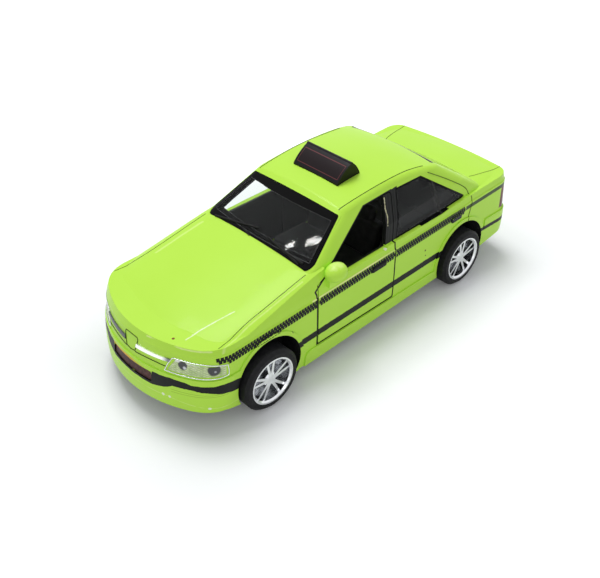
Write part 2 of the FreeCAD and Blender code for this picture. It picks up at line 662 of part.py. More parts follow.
def save_pair(name, left):
    """Write a left piece and its mirror image."""
    save(name + "_left", left)
    save(name + "_right", mirrored(left))


save("body_shell", body_shell())
save_pair("door", door())
save("mirror_left", mirror_shell())
save("window_moulding", glazing())
save_pair("headlamp", inlay("headlamp"))
save_pair("tail_lamp", inlay("tail_lamp"))
save("chassis", chassis())
save("interior_tray", tray())
save("steering_wheel", steering_wheel())
save("roof_sign", roof_sign())
save("grille_bars", grille_bars())
save("lower_grille", inlay("lower_grille"))
for share, end in zip(post_shares, ("front", "rear")):
    save("screw_" + end, screw(share))
for end, axle in (("front", FRONT_AXLE), ("rear", rear_axle)):
    save("axle_" + end, axle_rod(axle))
    for word, side in (("left", 1), ("right", -1)):
        save("tyre_" + end + "_" + word, tyre(side, axle))
        save("hub_" + end + "_" + word, hub(side, axle))
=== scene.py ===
# %% [markdown]
# A die-cast toy taxi, dressed for its photograph.
#
# The solids come ready made from the packed model: body, doors, panes, lamps, wheels and the base.
# This script gives each of them its finish, adds the small printed and fitted details, and sets up
# a pale table top with soft light. Everything is in metres, with the nose towards -Y and +Z up.

# %% Load the solids
import math
import bmesh
import bpy
from mathutils import Matrix, Vector


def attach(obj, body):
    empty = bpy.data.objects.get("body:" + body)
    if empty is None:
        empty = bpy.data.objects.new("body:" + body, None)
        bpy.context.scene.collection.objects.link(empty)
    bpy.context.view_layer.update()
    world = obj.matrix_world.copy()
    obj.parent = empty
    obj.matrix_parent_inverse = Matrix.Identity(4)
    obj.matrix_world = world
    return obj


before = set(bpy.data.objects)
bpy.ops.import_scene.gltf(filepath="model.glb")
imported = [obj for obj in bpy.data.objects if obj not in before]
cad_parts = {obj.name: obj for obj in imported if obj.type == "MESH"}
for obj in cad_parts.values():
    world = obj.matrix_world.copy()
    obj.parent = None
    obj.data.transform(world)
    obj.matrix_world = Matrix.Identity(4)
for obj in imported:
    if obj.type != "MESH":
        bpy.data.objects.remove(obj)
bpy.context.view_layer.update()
MM = 0.001
ENDS, SIDES = ("front", "rear"), (("left", 1), ("right", -1))

# %% [markdown]
# ## Sums in a node tree
#
# Paint on a toy like this is sprayed and printed through masks, so a mask is a piece of arithmetic on
# the place of a point: "between these two heights", "ahead of this line". Writing such sums node by
# node is long, so a small wrapper lets the script write them as ordinary formulas. The same wrapper
# serves for shapes later, because materials and Geometry Nodes share their arithmetic nodes.

# %% A small sum builder
class Sum:
    """A number in a node tree that ordinary arithmetic can be done with."""

    def __init__(self, tree, socket):
        self.tree, self.socket = tree, socket

    def node(self, operation, *others):
        maths = self.tree.nodes.new("ShaderNodeMath")
        maths.operation = operation
        for slot, value in zip(maths.inputs, (self,) + others):
            if isinstance(value, Sum):
                self.tree.links.new(value.socket, slot)
            else:
                slot.default_value = value
        return Sum(self.tree, maths.outputs[0])

    def __add__(self, other):
        return self.node("ADD", other)

    def __sub__(self, other):
        return self.node("SUBTRACT", other)

    def __mul__(self, other):
        return self.node("MULTIPLY", other)

    def __truediv__(self, other):
        return self.node("DIVIDE", other)

    def __neg__(self):
        return self.node("MULTIPLY", -1.0)

    def magnitude(self):
        return self.node("ABSOLUTE")

    def clamp(self):
        limit = self.tree.nodes.new("ShaderNodeClamp")
        self.tree.links.new(self.socket, limit.inputs["Value"])
        return Sum(self.tree, limit.outputs[0])

    def above(self, edge, soft=0.04):
        """1 where this is over the edge, 0 below, with a narrow soft step."""
        return ((self - edge) * (1.0 / soft) + 0.5).clamp()

    def below(self, edge, soft=0.04):
        return (-(self - edge)).above(0.0, soft)

    def within(self, low, high, soft=0.04):
        return self.above(low, soft) * self.below(high, soft)

    def either(self, other):
        return self.node("MAXIMUM", other)

    def repeated(self, period):
        return self.node("FLOORED_MODULO", period)


class Wiring:
    """A node tree with a short way to add a node to it."""

    def __init__(self, tree):
        self.tree = tree

    def step(self, kind, feeds=None, **settings):
        """Add a node with its settings, feed its inputs with numbers or wires, and give its outputs."""
        node = self.tree.nodes.new(kind)
        for word, value in settings.items():
            setattr(node, word, value)
        for slot, value in (feeds or {}).items():
            value = value.socket if isinstance(value, Sum) else value
            if isinstance(value, bpy.types.NodeSocket):
                self.tree.links.new(value, node.inputs[slot])
            else:
                node.inputs[slot].default_value = value
        return node.outputs


print("a sum knows", ", ".join(word for word in vars(Sum) if word[0] != "_"))

# %% [markdown]
# ## A finish in the making
#
# A mould maker draws in plain views, from the side, from the front and from above, and a stencil for
# a print is cut the same way. So a finish knows the point being coloured in millimetres, can look at
# it in each of these views, and can tell how far it lies from a drawn line or how deep inside a drawn
# outline. Only the Object coordinates are read, so that the paint stays on when a door opens.

# %% The finish
SHADER_WORDS = {"colour": "Base Color", "roughness": "Roughness", "metal": "Metallic", "coat": "Coat Weight",
                "coat_roughness": "Coat Roughness", "gloss": "Specular IOR Level", "clear": "Transmission Weight",
                "bending": "IOR", "normal": "Normal", "glow": "Emission Strength", "glow_colour": "Emission Color"}
CURVE_TOP = 50.0


class Finish(Wiring):
    """A material in the making, with the place of the point that is being coloured."""

    def __init__(self, name):
        self.material = bpy.data.materials.new(name)
        self.material.use_nodes = True
        super().__init__(self.material.node_tree)
        self.shader = self.tree.nodes["Principled BSDF"]
        self.place = self.step("ShaderNodeTexCoord")["Object"]
        self.point = self.step("ShaderNodeVectorMath", {0: self.place, "Scale": 1.0 / MM}, operation="SCALE")[0]
        parts = self.step("ShaderNodeSeparateXYZ", {0: self.point})
        self.x, self.y, self.z = (Sum(self.tree, part) for part in parts)
        self.out, self.ahead = self.x.magnitude(), -self.y
        self.from_above = self.spot(self.x, self.y)
        self.from_side = self.spot(self.y, self.z)

    def spot(self, *numbers):
        """A point made of two or three numbers."""
        return self.step("ShaderNodeCombineXYZ", dict(enumerate(numbers)))[0]

    def measured(self, operation, first, second):
        """A number worked out from two vectors."""
        feeds = {0: first, 1: second}
        return Sum(self.tree, self.step("ShaderNodeVectorMath", feeds, operation=operation)["Value"])

    def near(self, centre, point=None):
        """The distance to one place."""
        return self.measured("DISTANCE", self.point if point is None else point, Vector((*centre, 0.0)[:3]))

    def distance(self, point, line):
        """The distance from a point to a drawn line."""
        nearest = None
        for start, end in zip(line, line[1:]):
            start, end = Vector((*start, 0.0)[:3]), Vector((*end, 0.0)[:3])
            run = end - start
            offset = self.step("ShaderNodeVectorMath", {0: point, 1: start}, operation="SUBTRACT")[0]
            along = self.measured("DOT_PRODUCT", offset, run / run.length_squared).clamp()
            foot = self.step("ShaderNodeVectorMath", {0: run, "Scale": along}, operation="SCALE")[0]
            gap = self.measured("DISTANCE", offset, foot)
            nearest = nearest.node("MINIMUM", gap) if nearest else gap
        return nearest

    def depth(self, point, corners):
        """How deep a point lies in a convex outline given anticlockwise; below 0 outside it."""
        least = None
        for start, end in zip(corners, corners[1:] + corners[:1]):
            run = Vector(end) - Vector(start)
            inward = Vector((-run.y, run.x, 0.0)) / run.length
            depth = self.measured("DOT_PRODUCT", point, inward) - inward.dot(Vector((*start, 0.0)))
            least = least.node("MINIMUM", depth) if least else depth
        return least

    def level(self, place, points):
        """A height read off straight runs between the given (place, height) points."""
        first, last = points[0][0], points[-1][0]
        node = self.tree.nodes.new("ShaderNodeFloatCurve")
        curve = node.mapping.curves[0]
        for knot, (at, height) in zip(curve.points, (points[0], points[-1])):
            knot.location = ((at - first) / (last - first), height / CURVE_TOP)
        for at, height in points[1:-1]:
            curve.points.new((at - first) / (last - first), height / CURVE_TOP)
        for knot in curve.points:
            knot.handle_type = "VECTOR"
        node.mapping.update()
        share = ((place - first) * (1.0 / (last - first))).clamp()
        self.tree.links.new(share.socket, node.inputs["Value"])
        return Sum(self.tree, node.outputs[0]) * CURVE_TOP

    def noise(self, scale, amount=1.0, detail=3.0):
        """Smooth noise between minus and plus half the amount."""
        feeds = {"Scale": scale, "Detail": detail, "Vector": self.place}
        return (Sum(self.tree, self.step("ShaderNodeTexNoise", feeds)["Fac"]) - 0.5) * amount

    def blend(self, mask, under, over):
        """Colour that goes from under to over by a mask."""
        feeds = {"Factor": mask}
        for slot, colour in (("A", under), ("B", over)):
            feeds[slot] = (*colour, 1.0) if isinstance(colour, tuple) else colour
        return self.step("ShaderNodeMix", feeds, data_type="RGBA")["Result"]

    def coats(self, colour, *layers):
        """Paint layers over a colour, each a mask and its colour."""
        for mask, over in layers:
            colour = self.blend(mask, colour, over)
        return colour

    def put(self, **values):
        """Set the shader: plain numbers on its own sockets, sums and colours by wire."""
        for word, value in values.items():
            slot = self.shader.inputs[SHADER_WORDS[word]]
            value = value.socket if isinstance(value, Sum) else value
            if isinstance(value, bpy.types.NodeSocket):
                self.tree.links.new(value, slot)
            else:
                slot.default_value = value
        return self

    def bump(self, height, distance, strength):
        feeds = {"Strength": strength, "Distance": distance, "Height": height}
        return self.put(normal=self.step("ShaderNodeBump", feeds)["Normal"])


def dress(finish, *names):
    """Put a finish in every slot of the named solids."""
    for name in names:
        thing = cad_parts[name]
        thing.data.materials.clear()
        thing.data.materials.append(finish.material)
    print(finish.material.name, "on", len(names), "solids,", len(finish.tree.nodes), "nodes")


# %% [markdown]
# ## The painted body
#
# The casting is sprayed a bright lime green and then printed: a black band low on the flanks and
# round both bumpers, black window posts and door handles, and a dark olive line on the rear wings. Each
# print is a mask drawn in a side or front view, as (length, height) or (width, height) corners in
# millimetres. The lower edges are ragged, because on the real toy they are brushed by hand.

# %% Colours and outlines of the prints
LIME, INK, OLIVE = (0.53, 0.88, 0.085), (0.006, 0.007, 0.006), (0.040, 0.075, 0.012)
LIME_SHADE = (0.5035, 0.8448, 0.068)
FLANK, POST_SIDE, DOOR_SIDE = 20.5, 10.0, 13.5
DOOR = [(-20.9, 8.5), (-20.9, 24.0), (-21.3, 25.0), (-16.7, 27.8), (0.7, 38.0), (11.3, 38.5), (8.25, 25.8),
        (8.3, 8.5), (-20.9, 8.5)]
DOOR_GAP = 0.24
POST = [(4.7, 26.1), (10.3, 26.3), (13.6, 38.8), (7.5, 38.2)]
HANDLES = ([(-0.9, 21.0), (4.4, 21.2), (4.4, 22.6), (-0.9, 22.4)],
           [(32.1, 21.7), (36.4, 21.9), (36.4, 23.2), (32.1, 23.0)])
NOSE_TOP = [(0.0, 11.75), (7.3, 11.8), (7.7, 14.8), (12.4, 15.0), (16.2, 14.8), (17.5, 14.3), (21.5, 14.3),
            (23.0, 14.4)]
NOSE_LOW = [(0.0, 11.2), (6.5, 11.0), (7.7, 11.0), (11.5, 11.9), (13.4, 12.9), (17.5, 13.0), (21.2, 12.3),
            (23.0, 11.5)]
FLANK_TOP = [(-53.0, 14.3), (-50.4, 14.4), (-48.0, 14.0), (-46.0, 13.6), (-44.0, 13.2)]
FLANK_LOW = [(-53.0, 12.0), (-50.9, 11.5), (-48.4, 10.9), (-46.0, 10.4), (-44.0, 10.2)]
DOOR_BAND, DOOR_BAND_RISE, DOOR_BAND_RUN = (11.75, 13.75), 0.020, (-30.0, 30.0)
TAIL_BAND, TAIL_BAND_FALL, TAIL_BAND_START, TAIL_MIDDLE = (12.2, 13.5), 0.03, 44.0, 49.7
NOSE_BAND_START, CORNER_RUN = 50.8, (44.0, 52.0)
ARCHES, ARCH_RADIUS, ARCH_TOP = ((-37.3, 9.2), (37.8, 9.2)), 10.36, 19.6
print("the door's printed joint has", len(DOOR) - 1, "runs")

# %% [markdown]
# The black is one stencil made of several. On the nose the band was brushed by hand between two drawn
# edges, on the doors and round the tail it is straighter. To it come the posts, the handles and the joint
# round the front door, and painted shade inside the wheel arches, where a whole disc is the easiest stencil.

# %% The black prints
def band_mask(paint):
    """The black band: brushed by hand on the nose, straighter on the doors and round the tail."""
    y, z, ahead = paint.y, paint.z, paint.ahead
    flank, ragged, brushed = paint.out.above(FLANK), paint.noise(900.0, 0.30), z + paint.noise(520.0, 0.5)
    nose = (brushed - paint.level(paint.out, NOSE_TOP)).below(0.0)
    nose = nose * (brushed - paint.level(paint.out, NOSE_LOW)).above(0.0) * ahead.above(NOSE_BAND_START, 0.5)
    corner = (brushed - paint.level(y, FLANK_TOP)).below(0.0) * flank * ahead.within(*CORNER_RUN, 0.5)
    corner = corner * (brushed - paint.level(y, FLANK_LOW)).above(0.0)
    doors = (z - y * DOOR_BAND_RISE + ragged).within(*DOOR_BAND) * y.within(*DOOR_BAND_RUN) * flank
    tail = (z + (y - TAIL_MIDDLE) * TAIL_BAND_FALL + ragged).within(*TAIL_BAND) * y.above(TAIL_BAND_START)
    return nose.either(corner).either(doors).either(tail)


def post_mask(paint):
    return paint.depth(paint.from_side, POST).above(0.0) * paint.out.above(POST_SIDE)


def black_mask(paint):
    """All that is painted black: the printed bands, posts, handles and door joint, and painted shade inside the wheel
    arches.
    """
    handles = [paint.depth(paint.from_side, handle) for handle in HANDLES]
    handle = handles[0].either(handles[1]).above(0.0) * paint.out.above(FLANK)
    gap = paint.distance(paint.from_side, DOOR).below(DOOR_GAP, 0.1) * paint.out.above(DOOR_SIDE)
    black = band_mask(paint).either(post_mask(paint)).either(handle).either(gap)
    # Painted shade: the inner faces of each wheel arch are painted black.
    for centre in ARCHES:
        inside = paint.near(centre, paint.from_side).below(ARCH_RADIUS)
        black = black.either(inside * paint.z.below(ARCH_TOP))
    return black


# %% [markdown]
# The finer prints come next: the olive line below the waist crease of the rear wing, thin moulding
# lines on the front bumper, an orange tint that the brush left over the grille, and the red of the
# tail lamps, which runs round the corner of the body. The inside of the cabin is painted black as
# painted shade. Its mask is a plane for the windscreen's slant and a width that narrows with height,
# read off a curve.

# %% The finer prints and the painted shade in the cabin
ORANGE, LAMP_RED = (0.80, 0.42, 0.03), (0.12, 0.008, 0.006)
THIN_GREEN, CABIN_SHADE = (0.24, 0.42, 0.03), (0.012, 0.014, 0.010)
CREASE, CREASE_RISE = 23.68, 0.033
OLIVE_LINE, OLIVE_RUN = (-1.75, -0.45), (38.6, 60.5)
BUMPER_LINES, THIN_HALF, THIN_OUT, BUMPER_START = ((11.15, 0.0), (12.1, 0.02)), 0.07, 13.0, 46.0
TAIL_LAMP_START, TAIL_LAMP_OUT, TAIL_LAMP_LEVELS = 55.9, 16.2, (16.8, 24.0)
GRILLE_LEVELS, GRILLE_FALL, GRILLE_OUT, GRILLE_START = (14.6, 15.2), 0.06, 8.0, 55.0
CABIN_WIDTH = [(8.0, 21.9), (20.0, 21.9), (23.5, 21.6), (25.0, 20.8), (37.0, 16.4), (38.4, 15.8)]
CABIN_BACK, CABIN_LEVELS = 24.0, (8.0, 38.0)
SCREEN_SLANT, SCREEN_FOOT, SCREEN_MARGIN = 1.65, 70.3, 0.8
print("the cabin is", 2 * CABIN_WIDTH[0][1], "mm wide at the sills and", 2 * CABIN_WIDTH[-1][1], "mm at the roof")


def above_crease(paint):
    """Height over the waist crease, which rises towards the tail."""
    return paint.z - paint.y * CREASE_RISE - CREASE


def fine_prints(paint):
    """Masks and colours that lie under the black."""
    out, y, z, ahead, flank = paint.out, paint.y, paint.z, paint.ahead, paint.out.above(FLANK)
    lamp = y.above(TAIL_LAMP_START, 0.2) * out.above(TAIL_LAMP_OUT) * z.within(*TAIL_LAMP_LEVELS)
    lines = [(z - level + out * slant).magnitude().below(THIN_HALF) for level, slant in BUMPER_LINES]
    thin = lines[0].either(lines[1]) * out.above(THIN_OUT) * ahead.above(BUMPER_START) * 0.6
    orange = (z + out * GRILLE_FALL).within(*GRILLE_LEVELS, 0.2) * out.below(GRILLE_OUT) * ahead.above(GRILLE_START)
    orange = orange * (-paint.x).above(-3.0, 6.0)
    olive = above_crease(paint) + paint.noise(900.0, 0.09)
    olive = olive.within(*OLIVE_LINE, 0.1) * y.within(*OLIVE_RUN) * flank
    return (lamp, LAMP_RED), (thin, THIN_GREEN), (orange, ORANGE), (olive, OLIVE)


def cabin_shade_mask(paint, front):
    """What is inside the cabin: behind a front end, behind the screen's plane and inside the walls."""
    # Painted shade: the inner faces of the cabin are painted near-black.
    inside = (paint.out - paint.level(paint.z, CABIN_WIDTH)).below(0.0, 0.3)
    behind = (paint.y - paint.z * SCREEN_SLANT + SCREEN_FOOT).above(SCREEN_MARGIN, 0.1)
    return inside * behind * paint.y.within(front, CABIN_BACK) * paint.z.within(*CABIN_LEVELS)


# %% [markdown]
# ## Wear and painted highlights
#
# The toy has been played with: a chip shows brown primer near the nose, olive specks sit on the left
# flank, a spot on the left door's sill is worn bare, and the black on the window posts is scored and
# flaked. Painted highlights lie among them: two long pale streaks across a corner of the bonnet, pale
# lines along the bonnet's edges, the nose crease, the waist crease and the bumper's lower edge, small
# glints on the bumper and a grey line inside each black handle. Each mark is a drawn line or a spot whose
# edge is broken up by fine noise. They are masks too, so that they keep their place when a door swings.

# %% Wear marks, painted highlights, spots and flakes
PALE, PRIMER, PAINTED_GLINT = (0.82, 1.0, 0.36), (0.20, 0.055, 0.012), (0.90, 1.0, 0.72)
CREASE_HIGHLIGHT, BARE_METAL = (0.95, 1.0, 0.42), (0.80, 0.86, 0.62)
FLAKED, SCORED, HANDLE_HIGHLIGHT = (0.62, 0.60, 0.36), (0.05, 0.05, 0.05), (0.10, 0.11, 0.13)
HIGHLIGHT_STREAKS = (([(12.97, -54.3), (12.95, -50.6), (14.3, -44.4), (15.0, -41.3)], 0.12),
           ([(12.7, -52.2), (13.95, -46.3)], 0.10))
NOSE_HIGHLIGHT = [(5.1, -59.6, 23.2), (10.9, -57.6, 23.35), (13.0, -57.1, 23.4), (15.0, -56.5, 23.4),
            (17.0, -55.4, 23.45), (18.9, -54.0, 23.5), (20.2, -52.6, 23.5)]
BONNET_EDGE_HIGHLIGHT = [(20.1, -24.0), (20.4, -41.5), (21.0, -46.5), (21.6, -50.6)]
FAR_BONNET_EDGE_HIGHLIGHT = [(-16.9, -25.0), (-17.3, -32.0), (-17.4, -40.0)]
BUMPER_EDGE = [(0.0, 9.4), (12.0, 9.3), (21.0, 7.6), (23.0, 7.3)]
POST_FLAKE = [(8.3, 37.4), (7.7, 35.0), (7.8, 33.2), (7.1, 31.0)]
# The last three spots are painted glints on the bumper's lower edge.
SPOTS_AND_GLINTS = (((10.6, -56.1, 23.7), 0.36, PRIMER), ((22.7, -29.6, 17.7), 0.26, OLIVE), ((22.5, 21.2, 17.7), 0.26, OLIVE),
         ((22.5, 21.5, 15.9), 0.22, OLIVE), ((21.8, 4.6, 25.7), 0.55, BARE_METAL), ((10.8, -60.7, 9.4), 0.42, PAINTED_GLINT),
         ((12.5, -60.1, 9.25), 0.34, PAINTED_GLINT), ((20.9, -54.8, 7.6), 0.40, PAINTED_GLINT))
SCORE_SPACING, SCORE_LEAN, SCORE_FOOT, SCORE, HANDLE_HIGHLIGHT_DEPTHS = 1.0, 0.24, 25.6, (0.30, 0.42), (0.42, 0.60)
STREAK_LOW, BONNET_EDGE_HIGHLIGHT_LOW, FAR_BONNET_EDGE_HIGHLIGHT_LOW, BUMPER_EDGE_HIGHLIGHT_HALF = 22.0, 22.5, 25.0, 0.08
CREASE_HIGHLIGHT_LEVELS, CREASE_HIGHLIGHT_START, CREASE_HIGHLIGHT_END = (-0.02, 0.24), -22.6, 6.0
print("wear:", len(HIGHLIGHT_STREAKS), "streaks,", len(SPOTS_AND_GLINTS), "spots")


def green_wear_and_highlights(paint):
    """Wear marks and painted highlights on the green, which lie under the black."""
    y, z, breaks = paint.y, paint.z, paint.noise(1400.0, 1.0, 4.0)
    # Painted highlight: a pale broken line along the bumper's lower edge.
    bumper_edge_highlight = (z - paint.level(paint.out, BUMPER_EDGE)).magnitude().below(BUMPER_EDGE_HIGHLIGHT_HALF)
    bumper_edge_highlight = bumper_edge_highlight * paint.ahead.above(BUMPER_START)
    layers = [(bumper_edge_highlight * (paint.noise(700.0, 2.0) + 0.4).clamp(), PALE)]
    # Painted highlights: two long pale streaks across a corner of the bonnet.
    for line, width in HIGHLIGHT_STREAKS:
        streak = (paint.distance(paint.from_above, line) + breaks * 0.25).below(width, 0.22)
        layers.append((streak * z.above(STREAK_LOW) * 0.85, PAINTED_GLINT))
    # Painted highlight: a thin pale line along the crease at the front of the bonnet.
    nose = (paint.distance(paint.point, NOSE_HIGHLIGHT) + breaks * 0.3).below(0.20, 0.2) * 0.8
    # Painted highlights: pale lines along the bonnet's two side edges.
    side = (paint.distance(paint.from_above, BONNET_EDGE_HIGHLIGHT) + breaks * 0.3).below(0.12, 0.25)
    side = side * z.above(BONNET_EDGE_HIGHLIGHT_LOW) * 0.6
    far = (paint.distance(paint.from_above, FAR_BONNET_EDGE_HIGHLIGHT) + breaks * 0.4).below(0.30, 0.4)
    far = far * z.above(FAR_BONNET_EDGE_HIGHLIGHT_LOW) * 0.5
    # Painted highlight: a pale line just above the waist crease on the front door, fading out towards its rear.
    crease = above_crease(paint).within(*CREASE_HIGHLIGHT_LEVELS, 0.10) * paint.out.above(FLANK)
    crease = crease * y.above(CREASE_HIGHLIGHT_START) * y.below(CREASE_HIGHLIGHT_END, 14.0)
    layers += [(nose, PALE), (side, PALE), (far, PALE), (crease, CREASE_HIGHLIGHT)]
    # Worn spots and painted glints, each with an edge broken by noise.
    for centre, radius, colour in SPOTS_AND_GLINTS:
        layers.append(((paint.near(centre) + breaks * 0.5).below(radius, 0.12), colour))
    return layers


def black_wear_and_highlight(paint):
    """Marks on the black: scored and flaked posts, and a painted highlight line inside each handle."""
    post, breaks = post_mask(paint), paint.noise(1400.0, 1.0, 4.0)
    across = (paint.y - (paint.z - SCORE_FOOT) * SCORE_LEAN).repeated(SCORE_SPACING)
    scored = across.within(*SCORE, 0.06) * post * 0.5
    flaked = (paint.distance(paint.from_side, POST_FLAKE) + breaks * 0.9).below(0.14, 0.1) * post
    # Painted highlight: a grey line inside each black handle's outline.
    handle_highlights = [paint.depth(paint.from_side, handle).within(*HANDLE_HIGHLIGHT_DEPTHS, 0.06) for handle in HANDLES]
    slot = handle_highlights[0].either(handle_highlights[1]) * paint.out.above(FLANK)
    return (scored, SCORED), (flaked, FLAKED), (slot, HANDLE_HIGHLIGHT)


# %% [markdown]
# ## Lime enamel
#
# The layers go on in this order: green with faint clouds, fine prints, wear marks and painted
# highlights, black print with painted shade in the wheel arches, marks and a painted highlight on the
# black, and painted shade inside the cabin. A real enamel flows out before it dries, so the surface has
# a very low, wide ripple, which is the bump. The coat is thin, since a thick one would mirror the white
# room and bleach the green.

# %% Spray and print the body, the doors and the mirror
def enamel(name, cabin_front):
    paint = Finish(name)
    cloud = (paint.noise(60.0, 1.4, 2.0) + 0.5).clamp()
    black = black_mask(paint)
    green = paint.blend(cloud, LIME_SHADE, LIME)
    colour = paint.coats(green, *fine_prints(paint), *green_wear_and_highlights(paint), (black, INK), *black_wear_and_highlight(paint),
                         (cabin_shade_mask(paint, cabin_front), CABIN_SHADE))
    paint.put(colour=colour, roughness=black * 0.12 + 0.34, gloss=0.14, coat=0.08, coat_roughness=0.08)
    return paint.bump(paint.noise(230.0, 1.0, 2.0), 0.0002, 0.10)


def mirror_enamel(name):
    """The same green with no print, paler towards its top."""
    paint = Finish(name)
    paler_top = (paint.z + paint.noise(900.0, 1.5)).above(30.0, 0.6) * 0.5
    paint.put(colour=paint.blend(paler_top, LIME, PALE), roughness=0.36, gloss=0.14, coat=0.08)
    return paint.bump(paint.noise(230.0, 1.0, 2.0), 0.0002, 0.10)


dress(enamel("lime_enamel", cabin_front=-17.0), "body_shell")
dress(enamel("door_enamel", cabin_front=-23.0), "door_left", "door_right")
dress(mirror_enamel("mirror_enamel"), "mirror_left")

# %% [markdown]
# ## Smoked panes
#
# The windows are thick mouldings in smoked plastic. Light loses some of its strength on the way in
# and again on the way out, so the black cabin shows only as darker shapes, while the white table
# shines through where two open windows line up. A black border is printed round each pane. It is
# drawn as an outline in the front view for the screens and in the side view for the rear side windows.

# %% Smoked plastic with its black borders
SCREEN = [(-19.8, 29.2), (19.8, 29.2), (15.7, 38.4), (-15.7, 38.4)]
BACK_LIGHT = [(-18.4, 30.3), (18.4, 30.3), (15.2, 38.9), (-15.2, 38.9)]
SIDE_PANE = [(9.2, 25.9), (28.2, 26.2), (38.6, 26.9), (39.4, 27.3), (22.9, 38.5), (12.9, 38.5)]
DIVIDER, DIVIDER_COLOUR = [(26.6, 36.2), (27.4, 31.5), (28.4, 26.0)], (0.040, 0.040, 0.036)
SMOKE, SIDE_SMOKE, BORDER = (0.80, 0.84, 0.83), (0.42, 0.45, 0.44), (0.003, 0.003, 0.003)
SIDE_PANE_OUT, SIDE_PANE_RUN, SCREEN_LOW, SCREEN_END = 14.5, (8.0, 41.0), 30.7, 4.0
BACK_START, BACK_OUT, DIVIDER_HALF, DIVIDER_OUT = 23.5, 17.0, 0.24, 16.0
SCREEN_BORDER, BACK_BORDER, SIDE_BORDER = 1.25, 1.0, 0.8
print("borders", SCREEN_BORDER, BACK_BORDER, SIDE_BORDER, "mm")


def smoked_plastic(name):
    pane = Finish(name)
    from_front, rim = pane.spot(pane.x, pane.z), pane.noise(500.0, 0.2)
    screen = (pane.depth(from_front, SCREEN) + rim).below(SCREEN_BORDER).either(pane.z.below(SCREEN_LOW))
    screen = screen * pane.ahead.above(SCREEN_END)
    back = (pane.depth(from_front, BACK_LIGHT) + rim).below(BACK_BORDER)
    back = back * pane.y.above(BACK_START) * pane.out.below(BACK_OUT)
    side = pane.out.above(SIDE_PANE_OUT) * pane.y.within(*SIDE_PANE_RUN)
    side_border = (pane.depth(pane.from_side, SIDE_PANE) + rim).below(SIDE_BORDER) * side
    divider = pane.distance(pane.from_side, DIVIDER).below(DIVIDER_HALF) * pane.out.above(DIVIDER_OUT)
    black = screen.either(back).either(side_border).either(divider)
    colour = pane.coats(SMOKE, (side, SIDE_SMOKE), (black, BORDER), (divider, DIVIDER_COLOUR))
    pane.put(colour=colour, clear=-black + 1.0, roughness=0.03, bending=1.22, gloss=0.30)
    return pane.bump(pane.noise(160.0, 1.0, 2.0), 0.0003, 0.06)


dress(smoked_plastic("smoked_plastic"), "window_moulding")

# %% [markdown]
# ## Chrome
#
# The hubs and the bars on the nose are vacuum-plated plastic: a mirror with a faint ripple. The
# recesses of the hubs are painted darker as painted shade. In the hubs the distance from the car's middle
# tells rim and spokes from the recesses. Of the two bars, the one on the car's right is painted dark as
# a painted reflection, and the other is painted darker at its outer end as painted shade.

# %% Plated pieces
CHROME, CHROME_DULL, RECESS_SHADE = (0.90, 0.91, 0.93), (0.50, 0.51, 0.53), (0.20, 0.21, 0.22)
HUB_CHROME, HUB_DULL, HUB_FACE = (0.96, 0.97, 0.98), (0.60, 0.61, 0.63), 20.2
BAR_CHROME, BAR_DARK_REFLECTION, BAR_SHADE_START = (0.97, 0.97, 0.97), (0.10, 0.11, 0.11), 11.0


def trim_plating(name):
    metal = Finish(name)
    shade = metal.noise(700.0)
    metal.put(colour=metal.blend(shade + 0.5, CHROME_DULL, CHROME), metal=1.0, roughness=shade * 0.16 + 0.15)
    return metal.bump(metal.noise(500.0, 1.0, 2.0), 0.0001, 0.1)


def hub_plating(name):
    """Bright rim and spokes, with painted shade darkening the dish inboard of the hub's face."""
    metal = Finish(name)
    shade = metal.noise(900.0)
    # Painted shade: darker inboard of the hub's face, in the recesses between the spokes.
    recess_shade = (metal.out + shade * 0.8).below(HUB_FACE, 1.6) * 0.75
    colour = metal.coats(metal.blend(shade + 0.5, HUB_DULL, HUB_CHROME), (recess_shade, RECESS_SHADE))
    metal.put(colour=colour, metal=1.0, roughness=shade * 0.12 + 0.14)
    return metal.bump(metal.noise(600.0, 1.0, 2.0), 0.0001, 0.15)


def bar_plating(name):
    metal = Finish(name)
    # Painted reflection: the bar on the car's right is painted dark.
    dark_reflection = (metal.x + metal.noise(500.0, 1.0)).below(0.0)
    # Painted shade: the other bar darkens towards its outer end.
    shaded = metal.x.above(BAR_SHADE_START, 1.5)
    colour = metal.coats(BAR_CHROME, (shaded, RECESS_SHADE), (dark_reflection, BAR_DARK_REFLECTION))
    return metal.put(colour=colour, metal=0.8, roughness=metal.noise(800.0, 0.2) + 0.28)


bright = trim_plating("bright_plating")
dress(hub_plating("hub_plating"), *[f"hub_{end}_{side}" for end in ENDS for side, _ in SIDES])
dress(bar_plating("bar_plating"), "grille_bars")

# %% [markdown]
# ## Black mouldings, rubber and steel
#
# Tyres, base and cabin are the same black family but differ in gloss, which is what tells them apart.
# One function mixes them all: two close shades clouded by noise, whose roughness and fine bump follow
# the same noise, as a moulded grain does. The printing ink, the dark wash in the joint lines and the
# maroon grille are mixed the same way.

# %% Mouldings
def moulding(name, dark, light, roughness, grain, metal=0.0):
    paint = Finish(name)
    shade = paint.noise(grain, 1.0, 4.0)
    colour = paint.blend((shade * 2.0 + 0.5).clamp(), dark, light)
    paint.put(colour=colour, roughness=(shade * 0.2 + roughness).clamp(), gloss=0.14, metal=metal)
    return paint.bump(shade, 0.00004, 0.35)


